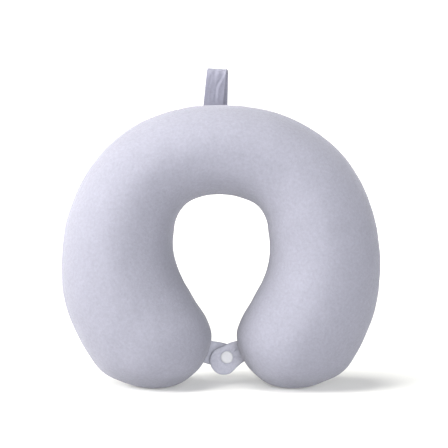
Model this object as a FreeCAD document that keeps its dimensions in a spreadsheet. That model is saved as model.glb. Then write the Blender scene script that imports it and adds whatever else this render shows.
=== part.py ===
import FreeCAD, Part
import math
import os

# U-shaped neck pillow standing on its two lobes.  X to the right, +Y to the back, Z up, millimetres.
# A zipped velour cover in two panels is sewn along a seam plane behind mid depth, over a lined foam core.

V = FreeCAD.Vector
Placement = FreeCAD.Placement
Rotation = FreeCAD.Rotation

SIZES = {
    # outer outline: three arcs each side of the top centre, radius and sweep
    "crown_radius": 185.0, "crown_sweep": 17.5,
    "shoulder_radius": 130.0, "shoulder_sweep": 45.5,
    "side_radius": 162.0, "top_height": 266.5,
    # half width and half depth of the elliptical section, top centre and growth toward the lobe
    "top_half_width": 42.0, "half_width_gain": 13.0,
    "top_half_depth": 48.0, "half_depth_gain": 9.0,
    # lobe
    "lobe_x": 65.5, "lobe_z": 51.4, "lobe_radius": 54.0, "lobe_half_depth": 57.0,
    # layers, measured inward from the cover's face
    "cover_face": 0.0, "cover_back": 1.6, "thread_outer": 2.2, "thread_inner": 2.8,
    "liner_face": 3.6, "liner_back": 4.1, "core_face": 4.2, "label_face": -0.45,
    "seam_y": 18.0, "liner_seam_y": 2.0, "thread_width": 0.6,
    "thread_gap_half": 9.0, "thread_gap_deep": 4.0, "thread_gap_over": 0.5,
    # zip, in the frame of its seam: u along the section toward the back, v outward
    "zip_tilt": 18.0, "zip_depth": 2.95,
    "slot_half": 3.6, "slot_start": 65.0, "slot_end": 113.0, "slot_floor_v": -2.5, "slot_cut": 6.0,
    "tape_edge": 0.6, "tape_width": 6.2, "tape_thick": 0.4, "tape_v": -2.65, "tape_end_gap": 0.1,
    "coil_edge": 0.5, "coil_width": 1.6, "coil_height": 1.65, "coil_start": 66.8, "coil_end": 111.5,
    "stop_half": 2.4, "stop_height": 1.7, "stop_sweep": 1.0, "stop_gap": 0.2,
    "slider_angle": 68.6, "slider_half": 3.1, "slider_length": 9.0,
    "slider_cap": 1.1, "slider_cap_v": -0.4, "slider_sole": 0.45, "slider_sole_top_v": -2.8,
    "divider_width": 0.6, "divider_length": 3.0, "divider_inset": 0.2, "divider_height": 2.5,
    "flange_inner": 2.25, "flange_v": -2.0, "flange_height": 1.7,
    "post_inner": 1.9, "post_width": 1.0, "post_height": 2.8, "post_length": 2.2, "post_sunk": 0.1,
    "pin_radius": 0.7, "pin_height": 2.6, "pin_length": 4.0,
    "pull_length": 14.5, "pull_width": 5.2, "pull_thick": 1.0, "eye_radius": 1.7, "eye_bore": 0.9,
    "eye_width": 3.0, "neck_start": 1.2, "neck_length": 2.0, "plate_start": 2.5,
    # hanging loop of folded strap
    "loop_x": -5.7, "loop_z": 263.35, "loop_lean": 4.0, "strap_width": 20.0,
    "strap_thick": 1.6, "loop_base_half": 1.65, "loop_radius": 5.2, "loop_rise": 32.6,
    "tail_depth": 1.2, "tail_proud": 1.2, "loop_gap": 0.1, "loop_slot_depth": 4.0,
    # snap tabs
    "root_x": 19.9, "root_z": 30.4, "root_angle": 24.5, "root_half": 10.4, "root_sunk": 0.9,
    "root_length": 4.3, "root_slot_sunk": 6.0, "root_slot_length": 10.0, "slot_ease": 0.1,
    "ply_thick": 1.2, "front_ply_y": 13.7, "rear_ply_y": 19.9, "tab_start": 3.5, "tab_radius": 13.4,
    "snap_x": 5.6, "snap_z": 25.4, "cap_radius": 5.95, "cap_thick": 1.3, "cap_rim": 0.6, "cap_bevel": 1.5,
    "post_radius": 1.1, "post_clear": 1.2, "post_overlap": 0.3, "post_reach": 0.5,
    "socket_radius": 5.6, "socket_bore": 2.6, "socket_thick": 2.3, "socket_floor": 0.7,
    "stud_base": 1.1, "stud_radius": 2.1, "stud_height": 1.7, "stud_sunk": 0.2,
    # care label
    "label_z": 96.0, "label_height": 22.0, "label_width": 30.0, "label_gap": 0.3, "label_inner_x": 112.0,
}

ARM_STATIONS = (-18.0, -9.0, 0.0, 9.0, 18.0, 29.0, 40.0, 51.0, 62.0, 73.0, 84.0, 95.0, 106.0, 116.0, 124.0)
# rounded end of the lobe: tilt of each section and how much its inner side is drawn in
CAP_STATIONS = ((4.0, 2.7), (22.0, 1.8), (40.0, 0.0), (55.0, 0.0), (67.0, 0.0), (76.0, 0.0), (83.0, 0.0),
                (88.0, 0.0))
LOBE_ANGLE = 128.0
BIG = 400.0


def size(name):
    return SIZES[name]


def make_sheet(doc):
    sheet = doc.addObject("Spreadsheet::Sheet", "Sizes")
    for row, (name, number) in enumerate(SIZES.items(), start=1):
        sheet.set("A%d" % row, name)
        sheet.set("B%d" % row, str(number))
        sheet.setAlias("B%d" % row, name)
    doc.recompute()


def new(doc, kind, label, **bound):
    """Add an object and bind its sizes to expressions over the sheet."""
    obj = doc.addObject(kind, label)
    obj.Label = label
    for prop, text in bound.items():
        obj.setExpression(prop, text)
    return obj


def cut(doc, label, base, tool):
    obj = new(doc, "Part::Cut", label)
    obj.Base, obj.Tool, obj.Refine = base, tool, False
    return obj


def common(doc, label, base, tool):
    obj = new(doc, "Part::Common", label)
    obj.Base, obj.Tool, obj.Refine = base, tool, False
    return obj


def fuse(doc, label, shapes):
    obj = new(doc, "Part::MultiFuse", label)
    obj.Shapes, obj.Refine = shapes, False
    return obj


def box(doc, label, place, length, width, height):
    obj = new(doc, "Part::Box", label, Length=length, Width=width, Height=height)
    obj.Placement = place
    return obj


def cylinder(doc, label, place, radius, height):
    obj = new(doc, "Part::Cylinder", label, Radius=radius, Height=height)
    obj.Placement = place
    return obj


def at(x, y, z):
    return Placement(V(x, y, z), Rotation())


# ---- pillow body -------------------------------------------------------------------------------

def outline_point(angle):
    """Point of the outer outline where its normal makes this angle with the vertical."""
    x, z, start = 0.0, size("top_height"), 0.0
    arcs = (("crown_radius", size("crown_sweep")), ("shoulder_radius", size("shoulder_sweep")),
            ("side_radius", 180.0))
    for radius, sweep in arcs:
        end = min(abs(angle), start + sweep)
        if end <= start:
            break
        a, b = math.radians(start), math.radians(end)
        x += size(radius) * (math.sin(b) - math.sin(a))
        z += size(radius) * (math.cos(b) - math.cos(a))
        start = end
    return math.copysign(x, angle), z


def growth(angle, power):
    along = (abs(angle) / LOBE_ANGLE) ** power
    return (1.0 - math.cos(math.pi * along)) / 2.0


def section(doc, name, centre, angle, across, deep):
    """Elliptical section in the plane of the depth axis and the outline's normal."""
    obj = new(doc, "Part::Ellipse", name, MinorRadius=across, MajorRadius=deep)
    a = math.radians(angle)
    normal, back = V(math.sin(a), 0, math.cos(a)), V(0, 1, 0)
    obj.Placement = Placement(centre, Rotation(back, normal, back.cross(normal), "XYZ"))
    return obj


def arm_section(doc, layer, index, angle):
    wide, deep = growth(angle, 0.85), growth(angle, 1.0)
    half = size("top_half_width") + size("half_width_gain") * wide
    x, z = outline_point(angle)
    a = math.radians(angle)
    centre = V(x - math.sin(a) * half, 0, z - math.cos(a) * half)
    return section(doc, "%s_arm_%02d" % (layer, index), centre, angle,
                   "Sizes.top_half_width + Sizes.half_width_gain * %.5f - Sizes.%s" % (wide, layer),
                   "Sizes.top_half_depth + Sizes.half_depth_gain * %.5f - Sizes.%s" % (deep, layer))


def cap_section(doc, layer, index, tilt, drawn):
    """Section of the lobe's rounded end, further along its axis as the tilt grows."""
    a, t = math.radians(LOBE_ANGLE), math.radians(tilt)
    along = (size("lobe_radius") - size(layer)) * math.sin(t)
    centre = V(size("lobe_x") + math.cos(a) * along + math.sin(a) * drawn, 0,
               size("lobe_z") - math.sin(a) * along + math.cos(a) * drawn)
    return section(doc, "%s_cap_%02d" % (layer, index), centre, LOBE_ANGLE,
                   "(Sizes.lobe_radius - Sizes.%s) * %.5f - %g" % (layer, math.cos(t), drawn),
                   "(Sizes.lobe_half_depth - Sizes.%s) * %.5f" % (layer, math.cos(t)))


def envelope(doc, layer):
    """Solid bounded by the pillow's outer form moved inward to this layer, standing flat."""
    loft = new(doc, "Part::Loft", layer + "_half")
    loft.Sections = ([arm_section(doc, layer, i, a) for i, a in enumerate(ARM_STATIONS)]
                     + [cap_section(doc, layer, i, *cap) for i, cap in enumerate(CAP_STATIONS)])
    loft.Solid, loft.Ruled = True, False
    side = box(doc, layer + "_side", at(0, -BIG / 2, 0), str(BIG), str(BIG), str(BIG))
    side.setExpression("Placement.Base.z", "Sizes.%s" % layer)
    right = common(doc, layer + "_right", loft, side)
    left = new(doc, "Part::Mirroring", layer + "_left")
    left.Source, left.Normal, left.Base = right, V(1, 0, 0), V(0, 0, 0)
    return fuse(doc, layer + "_solid", [right, left])


def half_space(doc, label, plane_y, to_back):
    start = "0" if to_back else "-%g" % BIG
    obj = box(doc, label, at(-BIG / 2, 0, -BIG / 4), str(BIG), str(BIG), str(BIG))
    obj.setExpression("Placement.Base.y", "%s + %s" % (plane_y, start))
    return obj


# ---- zip ---------------------------------------------------------------------------------------

def side_centre():
    """Centre of the side arc; the slider travels round it."""
    x, z = outline_point(100.0)
    a = math.radians(100.0)
    return V(x - size("side_radius") * math.sin(a), 0, z - size("side_radius") * math.cos(a))


def zip_frame(angle):
    """Placement of the zip's own frame: u to the back, v outward, third axis down the zip."""
    a, t = math.radians(angle), math.radians(size("zip_tilt"))
    radial, back = V(math.sin(a), 0, math.cos(a)), V(0, 1, 0)
    u = back * math.cos(t) - radial * math.sin(t)
    v = radial * math.cos(t) + back * math.sin(t)
    origin = side_centre() + radial * (size("side_radius") - size("zip_depth")) + back * size("seam_y")
    return Placement(origin, Rotation(u, v, u.cross(v), "XYZ"))


def zip_sweep(doc, label, u, v, width, height, start, sweep):
    """Rectangle in the zip's frame swept round the side arc."""
    face = new(doc, "Part::Plane", label + "_face", Length=width, Width=height)
    face.Placement = zip_frame(start).multiply(at(u, v, 0))
    obj = new(doc, "Part::Revolution", label, Angle=sweep)
    obj.Source, obj.Axis, obj.Base, obj.Solid = face, V(0, 1, 0), side_centre(), True
    return obj


def zip_box(doc, label, u, v, t, length, width, height):
    return box(doc, label, zip_frame(size("slider_angle")).multiply(at(u, v, t)), length, width, height)


def zip_rod(doc, label, u, v, radius, height):
    """Rod across the zip, starting at u."""
    turned = Placement(V(u, v, 0), Rotation(V(0, 1, 0), 90))
    return cylinder(doc, label, zip_frame(size("slider_angle")).multiply(turned), radius, height)


def make_zip(doc):
    edge, coil = size("tape_edge"), size("coil_edge")
    sweep = "Sizes.slot_end - Sizes.slot_start - 2 * Sizes.tape_end_gap"
    begin, tape_top = size("slot_start") + size("tape_end_gap"), size("tape_v") + size("tape_thick")
    for name, u in (("zip_tape_back", edge), ("zip_tape_front", -edge - size("tape_width"))):
        zip_sweep(doc, name, u, size("tape_v"), "Sizes.tape_width", "Sizes.tape_thick", begin, sweep)
    for name, u in (("zip_coil_back", coil), ("zip_coil_front", -coil - size("coil_width"))):
        zip_sweep(doc, name, u, tape_top, "Sizes.coil_width", "Sizes.coil_height",
                  size("coil_start"), "Sizes.coil_end - Sizes.coil_start")
    above = size("coil_start") - size("stop_gap") - size("stop_sweep")
    below = size("coil_end") + size("stop_gap")
    for name, start in (("zip_top_stop", above), ("zip_bottom_stop", below)):
        zip_sweep(doc, name, -size("stop_half"), tape_top, "2 * Sizes.stop_half",
                  "Sizes.stop_height", start, "Sizes.stop_sweep")
    make_slider(doc)
    make_pull(doc)


def make_slider(doc):
    half, length, post = size("slider_half"), size("slider_length"), size("post_inner")
    cap_v, sole_v = size("slider_cap_v"), size("slider_sole_top_v") - size("slider_sole")
    wide, long = "2 * Sizes.slider_half", "Sizes.slider_length"
    divider_start = size("divider_inset") - length / 2
    parts = [
        zip_box(doc, "slider_cap_plate", -half, cap_v, -length / 2, wide, "Sizes.slider_cap", long),
        zip_box(doc, "slider_sole_plate", -half, sole_v, -length / 2, wide, "Sizes.slider_sole", long),
        zip_box(doc, "slider_divider", -size("divider_width") / 2, sole_v, divider_start,
                "Sizes.divider_width", "Sizes.slider_sole + Sizes.divider_height", "Sizes.divider_length"),
        zip_rod(doc, "slider_pin", -size("pin_length") / 2, size("pin_height"), "Sizes.pin_radius",
                "Sizes.pin_length"),
    ]
    for name, u in (("slider_flange_back", size("flange_inner")), ("slider_flange_front", -half)):
        parts.append(zip_box(doc, name, u, size("flange_v"), -length / 2,
                             "Sizes.slider_half - Sizes.flange_inner", "Sizes.flange_height", long))
    post_v = cap_v + size("slider_cap") - size("post_sunk")
    for name, u in (("slider_post_back", post), ("slider_post_front", -post - size("post_width"))):
        parts.append(zip_box(doc, name, u, post_v, -size("post_length") / 2,
                             "Sizes.post_width", "Sizes.post_height", "Sizes.post_length"))
    fuse(doc, "zip_slider", parts)


def make_pull(doc):
    v, thick, wide = size("pin_height"), size("pull_thick"), size("pull_width")
    eye = zip_rod(doc, "pull_eye", -size("eye_width") / 2, v, "Sizes.eye_radius", "Sizes.eye_width")
    neck = zip_box(doc, "pull_neck", -size("eye_width") / 2, v - thick / 2, size("neck_start"),
                   "Sizes.eye_width", "Sizes.pull_thick", "Sizes.neck_length")
    plate = zip_box(doc, "pull_plate", -wide / 2, v - thick / 2, size("plate_start"),
                    "Sizes.pull_width", "Sizes.pull_thick", "Sizes.pull_length - Sizes.plate_start")
    tip_place = Placement(V(0, v + thick / 2, size("pull_length")), Rotation(V(1, 0, 0), 90))
    tip = cylinder(doc, "pull_tip", zip_frame(size("slider_angle")).multiply(tip_place),
                   "Sizes.pull_width / 2", "Sizes.pull_thick")
    solid = fuse(doc, "pull_solid", [eye, neck, plate, tip])
    bore = zip_rod(doc, "pull_bore", -size("eye_width"), v, "Sizes.eye_bore", "2 * Sizes.eye_width")
    cut(doc, "zip_pull", solid, bore)


def zip_slot(doc):
    return zip_sweep(doc, "zip_slot", -size("slot_half"), size("slot_floor_v"), "2 * Sizes.slot_half",
                     "Sizes.slot_cut", size("slot_start"), "Sizes.slot_end - Sizes.slot_start")


# ---- hanging loop ------------------------------------------------------------------------------

def loop_frame():
    """Frame at the loop's foot in the seam: width across, thickness front to back, height up."""
    lean = Rotation(V(0, 1, 0), size("loop_lean"))
    return Placement(V(size("loop_x"), size("seam_y"), size("loop_z")), lean)


def loop_rod(doc, label, height_text, radius):
    """Cylinder across the strap at this height above the loop's foot."""
    place = at(-size("strap_width") / 2, 0, doc.Sizes.evalExpression(height_text))
    turned = loop_frame().multiply(place).multiply(Placement(V(0, 0, 0), Rotation(V(0, 1, 0), 90)))
    return cylinder(doc, label, turned, radius, "Sizes.strap_width")


def loop_prism(doc, label, base_half, radius, start):
    """Upright teardrop prism: a wedge that widens upward and a half round on top of it."""
    wedge = new(doc, "Part::Wedge", label + "_wedge", Xmin="%s - %s" % (radius, base_half),
                Xmax="%s + %s" % (radius, base_half), X2min="0", X2max="2 * (%s)" % radius,
                Ymax="Sizes.loop_rise - " + start, Zmax="Sizes.strap_width", Z2max="Sizes.strap_width")
    wedge.Ymin = wedge.Zmin = wedge.Z2min = 0
    turn = Rotation(V(0, 1, 0), V(0, 0, 1), V(1, 0, 0), "XYZ")
    half, foot = (doc.Sizes.evalExpression(text) for text in (radius, start))
    corner = Placement(V(-size("strap_width") / 2, -half, foot), turn)
    wedge.Placement = loop_frame().multiply(corner)
    return [wedge, loop_rod(doc, label + "_crown", "Sizes.loop_rise", radius)]


def make_loop(doc):
    """Strap loop with a rounded foot that turns just above its two sewn tails."""
    pivot = "(Sizes.tail_proud + Sizes.loop_gap + Sizes.loop_base_half)"
    outer = loop_prism(doc, "loop_outer", "Sizes.loop_base_half", "Sizes.loop_radius", pivot)
    foot = loop_rod(doc, "loop_foot", pivot, "Sizes.loop_base_half")
    inner = loop_prism(doc, "loop_inner", "(Sizes.loop_base_half - Sizes.strap_thick)",
                       "(Sizes.loop_radius - Sizes.strap_thick)", pivot)
    cut(doc, "hanging_loop", fuse(doc, "loop_outer", outer + [foot]), fuse(doc, "loop_inner", inner))
    corner = at(-size("strap_width") / 2, -size("loop_base_half"), -size("tail_depth"))
    box(doc, "hanging_loop_tails", loop_frame().multiply(corner), "Sizes.strap_width",
        "2 * Sizes.loop_base_half", "Sizes.tail_depth + Sizes.tail_proud")


def loop_slot(doc):
    half, ease = size("loop_base_half"), size("slot_ease")
    corner = at(-size("strap_width") / 2 - ease, -half - ease, -size("loop_slot_depth"))
    return box(doc, "loop_slot", loop_frame().multiply(corner), "Sizes.strap_width + 2 * Sizes.slot_ease",
               "2 * (Sizes.loop_base_half + Sizes.slot_ease)", "2 * Sizes.loop_slot_depth")


# ---- snap tabs ---------------------------------------------------------------------------------

def frame_toward(origin, out):
    """Frame with its first axis along out and its second to the back."""
    back = V(0, 1, 0)
    return Placement(origin, Rotation(out, back, out.cross(back), "XYZ"))


def root_point(side):
    """Middle of the chord along which a tab leaves its lobe."""
    return V(side * size("root_x"), 0, size("root_z"))


def root_frame(side):
    """Frame at the root chord, aimed straight out of the lobe."""
    a = math.radians(size("root_angle"))
    return frame_toward(root_point(side), V(-side * math.cos(a), 0, -math.sin(a)))


def toward_snap(side):
    return V(size("snap_x"), 0, size("snap_z")) - root_point(side)


def tab_frame(side):
    """Frame at the root chord, aimed at the snap."""
    return frame_toward(root_point(side), toward_snap(side).normalize())


def tab_ply(doc, label, side, y_text):
    """One fabric ply: a strip from the root to the round end, pierced for the snap."""
    y, reach = doc.Sizes.evalExpression(y_text), toward_snap(side).Length
    frame, thick = tab_frame(side), "Sizes.ply_thick"
    strip = box(doc, label + "_strip", frame.multiply(at(0, y, -size("tab_radius"))),
                "%.4f" % reach, thick, "2 * Sizes.tab_radius")
    round_place = frame.multiply(Placement(V(reach, y, 0), Rotation(V(1, 0, 0), -90)))
    end = cylinder(doc, label + "_end", round_place, "Sizes.tab_radius", thick)
    hole = cylinder(doc, label + "_hole", round_place, "Sizes.post_clear", thick)
    body = fuse(doc, label + "_body", [strip, end])
    blank = cut(doc, label + "_blank", body, tab_trim(doc, label, side, y))
    return cut(doc, label, blank, hole)


def tab_trim(doc, label, side, y):
    """Blocks that narrow the ply toward its root and square it off clear of the sewn end."""
    reach, radius, root = toward_snap(side).Length, size("tab_radius"), size("root_half")
    slope = math.degrees(math.atan2(radius - root, reach))
    spare, deep = 10.0, "Sizes.ply_thick + 2"
    pieces = []
    for name, flip in (("_trim_a", 1), ("_trim_b", -1)):
        turned = Placement(V(0, y - 1, flip * root), Rotation(V(0, 1, 0), -flip * slope))
        corner = at(-spare, 0, 0 if flip > 0 else -2 * spare)
        pieces.append(box(doc, label + name, tab_frame(side).multiply(turned).multiply(corner),
                          "%.4f" % (reach + spare), deep, "%g" % (2 * spare)))
    behind = root_frame(side).multiply(at(size("tab_start") - 2 * spare, y - 1, -2 * spare))
    pieces.append(box(doc, label + "_trim_c", behind, "%g" % (2 * spare), deep, "%g" % (4 * spare)))
    return fuse(doc, label + "_trim", pieces)


def root_span(side):
    """Where a tab's sewn end starts in depth, and the text of its thickness."""
    if side > 0:
        return size("front_ply_y"), "Sizes.seam_y - Sizes.front_ply_y"
    return size("seam_y"), "Sizes.rear_ply_y + 2 * Sizes.ply_thick - Sizes.seam_y"


def make_tab_root(doc, label, side):
    y, width = root_span(side)
    place = root_frame(side).multiply(at(-size("root_sunk"), y, -size("root_half")))
    block = box(doc, label + "_block", place, "Sizes.root_length", width, "2 * Sizes.root_half")
    return common(doc, label, block, tab_root_zone(doc, label, side))


def tab_root_zone(doc, label, side):
    """Ring round the lobe that keeps the root's sewn end within the cover's thickness."""
    turned = Placement(V(side * size("lobe_x"), BIG / 2, size("lobe_z")), Rotation(V(1, 0, 0), 90))
    at_seam = "Sizes.lobe_radius * sqrt(1 - (Sizes.seam_y / Sizes.lobe_half_depth) ^ 2)"
    outer = cylinder(doc, label + "_zone_out", turned, "2 * Sizes.lobe_radius", str(BIG))
    inner = cylinder(doc, label + "_zone_in", turned, at_seam + " - Sizes.cover_back", str(BIG))
    return cut(doc, label + "_zone", outer, inner)


def tab_slot(doc, label, side):
    ease = size("slot_ease")
    y, width = root_span(side)
    place = root_frame(side).multiply(at(-size("root_slot_sunk"), y - ease, -size("root_half") - ease))
    return box(doc, label, place, "Sizes.root_slot_length", width + " + 2 * Sizes.slot_ease",
               "2 * (Sizes.root_half + Sizes.slot_ease)")


def snap_place(y, to_back=True):
    turn = Rotation(V(1, 0, 0), -90 if to_back else 90)
    return Placement(V(size("snap_x"), y, size("snap_z")), turn)


def snap_cap(doc, label, face_y, to_back):
    """Cap with a bevelled face outside the ply and a post that runs through it."""
    way = 1 if to_back else -1
    disc = cylinder(doc, label + "_disc", snap_place(face_y, to_back), "Sizes.cap_radius", "Sizes.cap_rim")
    bevel = new(doc, "Part::Cone", label + "_bevel", Radius1="Sizes.cap_radius",
                Radius2="Sizes.cap_radius - Sizes.cap_bevel", Height="Sizes.cap_thick - Sizes.cap_rim")
    bevel.Placement = snap_place(face_y + way * size("cap_rim"), to_back)
    post = cylinder(doc, label + "_post", snap_place(face_y + way * size("post_overlap"), not to_back),
                    "Sizes.post_radius", "2 * Sizes.ply_thick + Sizes.post_overlap + Sizes.post_reach")
    return fuse(doc, label, [disc, bevel, post])


def make_socket(doc, y):
    """Cup behind the front tab, open to the back, on the front cap's post."""
    body = cylinder(doc, "socket_body", snap_place(y), "Sizes.socket_radius", "Sizes.socket_thick")
    mouth = cylinder(doc, "socket_mouth", snap_place(y + size("socket_floor")),
                     "Sizes.socket_bore", "Sizes.socket_thick")
    eye = cylinder(doc, "socket_eye", snap_place(y - 1), "Sizes.post_clear", "Sizes.socket_thick")
    cut(doc, "snap_socket", body, fuse(doc, "socket_hollow", [mouth, eye]))


def make_stud(doc, y):
    """Disc in front of the rear tab with a knob that enters the socket."""
    sunk = size("stud_sunk")
    base = cylinder(doc, "stud_disc", snap_place(y, False), "Sizes.socket_radius", "Sizes.stud_base")
    knob = cylinder(doc, "stud_knob", snap_place(y - sunk, False), "Sizes.stud_radius",
                    "Sizes.stud_base + Sizes.stud_height - Sizes.stud_sunk")
    bore = cylinder(doc, "stud_bore", snap_place(y + 1, False), "Sizes.post_clear",
                    "1 + Sizes.stud_base + Sizes.post_reach + Sizes.slot_ease")
    cut(doc, "snap_stud", fuse(doc, "stud_body", [base, knob]), bore)


def make_snap(doc):
    front, rear, ply = size("front_ply_y"), size("rear_ply_y"), size("ply_thick")
    snap_cap(doc, "snap_cap_front", front, False)
    snap_cap(doc, "snap_cap_rear", rear + 2 * ply, True)
    make_socket(doc, front + 2 * ply)
    make_stud(doc, rear)


def make_tabs(doc):
    tab_ply(doc, "front_tab_face", 1, "Sizes.front_ply_y")
    tab_ply(doc, "front_tab_lining", 1, "Sizes.front_ply_y + Sizes.ply_thick")
    tab_ply(doc, "rear_tab_lining", -1, "Sizes.rear_ply_y")
    tab_ply(doc, "rear_tab_face", -1, "Sizes.rear_ply_y + Sizes.ply_thick")
    make_tab_root(doc, "front_tab_root", 1)
    make_tab_root(doc, "rear_tab_root", -1)


# ---- cover, liner, core ------------------------------------------------------------------------

def layer_sheet(doc, label, outer, inner, zone):
    """The part of the layer between two envelopes that lies inside a zone."""
    return cut(doc, label, common(doc, label + "_block", outer, zone), inner)


def make_cover(doc, solids):
    slots = [zip_slot(doc), loop_slot(doc), tab_slot(doc, "front_tab_slot", 1),
             tab_slot(doc, "rear_tab_slot", -1)]
    for name, to_back in (("cover_front_panel", False), ("cover_back_panel", True)):
        zone = half_space(doc, name + "_zone", "Sizes.seam_y", to_back)
        panel = layer_sheet(doc, name + "_sheet", solids["cover_face"], solids["cover_back"], zone)
        for number, slot in enumerate(slots[:-1]):
            panel = cut(doc, "%s_cut_%d" % (name, number), panel, slot)
        cut(doc, name, panel, slots[-1])


def make_thread(doc, solids):
    slab = box(doc, "thread_slab", at(-BIG / 2, 0, -BIG / 4), str(BIG), "Sizes.thread_width", str(BIG))
    slab.setExpression("Placement.Base.y", "Sizes.seam_y - Sizes.thread_width / 2")
    strip = layer_sheet(doc, "thread_strip", solids["thread_outer"], solids["thread_inner"], slab)
    gap = zip_sweep(doc, "thread_gap", -size("thread_gap_half"), -size("thread_gap_deep"),
                    "2 * Sizes.thread_gap_half", "2 * Sizes.thread_gap_deep",
                    size("slot_start") - size("thread_gap_over"),
                    "Sizes.slot_end - Sizes.slot_start + 2 * Sizes.thread_gap_over")
    cut(doc, "seam_thread", strip, gap)


def make_liner(doc, solids):
    for name, to_back in (("liner_front", False), ("liner_rear", True)):
        zone = half_space(doc, name + "_zone", "Sizes.liner_seam_y", to_back)
        layer_sheet(doc, name, solids["liner_face"], solids["liner_back"], zone)


def make_label(doc, solids):
    zone = box(doc, "label_zone", at(-BIG / 2, 0, size("label_z")), "%g - Sizes.label_inner_x" % (BIG / 2),
               "Sizes.label_width", "Sizes.label_height")
    zone.setExpression("Placement.Base.y", "Sizes.seam_y + Sizes.label_gap")
    layer_sheet(doc, "care_label", solids["label_face"], solids["cover_face"], zone)


NODES = (
    "foam_core", "liner_front", "liner_rear", "cover_front_panel", "cover_back_panel", "seam_thread",
    "zip_tape_front", "zip_tape_back", "zip_coil_front", "zip_coil_back", "zip_slider", "zip_pull",
    "zip_top_stop", "zip_bottom_stop", "hanging_loop", "hanging_loop_tails",
    "front_tab_root", "front_tab_face", "front_tab_lining", "rear_tab_root", "rear_tab_lining",
    "rear_tab_face", "snap_cap_front", "snap_socket", "snap_stud", "snap_cap_rear", "care_label",
)


def check_objects(doc):
    for obj in doc.Objects:
        if "Invalid" in obj.State or "Error" in obj.State:
            raise SystemExit("%s is %s" % (obj.Label, obj.State))


def write_parts(doc):
    os.makedirs("parts", exist_ok=True)
    for name in NODES:
        shape = doc.getObjectsByLabel(name)[0].Shape
        if shape.isNull() or not shape.isValid() or len(shape.Solids) != 1 or shape.Volume <= 0:
            raise SystemExit("%s: null, invalid or not one solid (%d)" % (name, len(shape.Solids)))
        shape.exportStep("parts/%s.step" % name)
        print("%-22s %10.1f mm3" % (name, shape.Volume))


def main():
    doc = FreeCAD.newDocument("neck_pillow")
    make_sheet(doc)
    layers = ("cover_face", "cover_back", "thread_outer", "thread_inner", "liner_face", "liner_back",
              "core_face", "label_face")
    solids = {layer: envelope(doc, layer) for layer in layers}
    solids["core_face"].Label = "foam_core"
    make_cover(doc, solids)
    make_thread(doc, solids)
    make_liner(doc, solids)
    make_label(doc, solids)
    make_zip(doc)
    make_loop(doc)
    make_tabs(doc)
    make_snap(doc)
    doc.recompute()
    check_objects(doc)
    write_parts(doc)


main()
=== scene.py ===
import math

import bmesh
import bpy
import numpy as np
from mathutils import Matrix, Vector, noise
from mathutils.bvhtree import BVHTree


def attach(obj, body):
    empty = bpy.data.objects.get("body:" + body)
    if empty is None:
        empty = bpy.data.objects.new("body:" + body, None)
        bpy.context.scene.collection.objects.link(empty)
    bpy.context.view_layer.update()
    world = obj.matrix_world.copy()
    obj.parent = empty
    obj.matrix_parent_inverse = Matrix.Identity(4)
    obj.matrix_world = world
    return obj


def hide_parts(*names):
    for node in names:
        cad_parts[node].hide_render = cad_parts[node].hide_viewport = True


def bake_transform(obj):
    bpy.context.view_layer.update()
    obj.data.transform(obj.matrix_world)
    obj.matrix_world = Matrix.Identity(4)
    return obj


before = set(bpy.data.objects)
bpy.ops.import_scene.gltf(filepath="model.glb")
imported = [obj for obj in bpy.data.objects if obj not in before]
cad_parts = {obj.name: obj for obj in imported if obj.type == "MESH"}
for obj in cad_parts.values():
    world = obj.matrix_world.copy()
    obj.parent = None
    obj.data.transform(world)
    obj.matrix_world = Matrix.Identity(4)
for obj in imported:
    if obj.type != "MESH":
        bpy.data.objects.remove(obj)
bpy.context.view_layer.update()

# Lengths below are millimetres and angles degrees unless a name says otherwise; meshes are made in metres.
MM = 0.001

# ---- the pillow's form ---------------------------------------------------------------------------
ARCS = ((185.0, 17.5), (130.0, 45.5), (162.0, 180.0))       # outer outline: radius, sweep
TOP_HEIGHT = 266.5
HALF_WIDTH, WIDTH_GAIN = 42.0, 13.0
HALF_DEPTH, DEPTH_GAIN = 48.0, 9.0
LOBE_ANGLE, LOBE_X, LOBE_Z = 128.0, 65.5, 51.4
LOBE_RADIUS, LOBE_DEPTH = 54.0, 57.0
DRAWN_IN = ((0.0, 2.9), (22.0, 1.8), (40.0, 0.0))           # inner side of the lobe, by tilt
EASE = 5.0                                                  # how far joins between arcs are eased
SEAM_Y = 18.0
COVER = 1.6
ROWS, AROUND = 340, 150

# how the stuffed cover settles
LOBE_SHIFT = 2.7                                            # both lobes stand this far to the right
LEFT_FULLNESS, LEFT_FULL_Z, LEFT_FULL_SPREAD = 2.2, 70.0, 38.0
CORNER_FULLNESS, CORNER_TURN, CORNER_SPREAD = 6.2, 33.0, 21.0
FOOT_REACH, FOOT_SOFTNESS = 8.0, 1.1
UNDULATION = 0.7

# where the loop, the tabs' roots and the snap are
LOOP_X, LOOP_Z, LOOP_LEAN = -5.7, 263.35, 4.0
ROOT_X, ROOT_Z = 19.9, 30.4
SNAP_X, SNAP_Z = 5.6, 25.4

# zip slot round the side arc
SLOT_START, SLOT_END, SLOT_HALF = 65.0, 113.0, 3.6
ZIP_TILT, ZIP_DEPTH, SIDE_RADIUS = 18.0, 2.95, 162.0


def smoothstep(low, high, value):
    t = np.clip((value - low) / (high - low), 0.0, 1.0)
    return t * t * (3.0 - 2.0 * t)


def outline_point(angle):
    """Outer outline where its normal is this far from the vertical, right side."""
    x, z, start = 0.0, TOP_HEIGHT, 0.0
    for radius, sweep in ARCS:
        end = min(angle, start + sweep)
        if end <= start:
            break
        a, b = math.radians(start), math.radians(end)
        x += radius * (math.sin(b) - math.sin(a))
        z += radius * (math.cos(b) - math.cos(a))
        start = end
    return x, z


def growth(angle, power):
    return (1.0 - math.cos(math.pi * (angle / LOBE_ANGLE) ** power)) / 2.0


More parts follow.
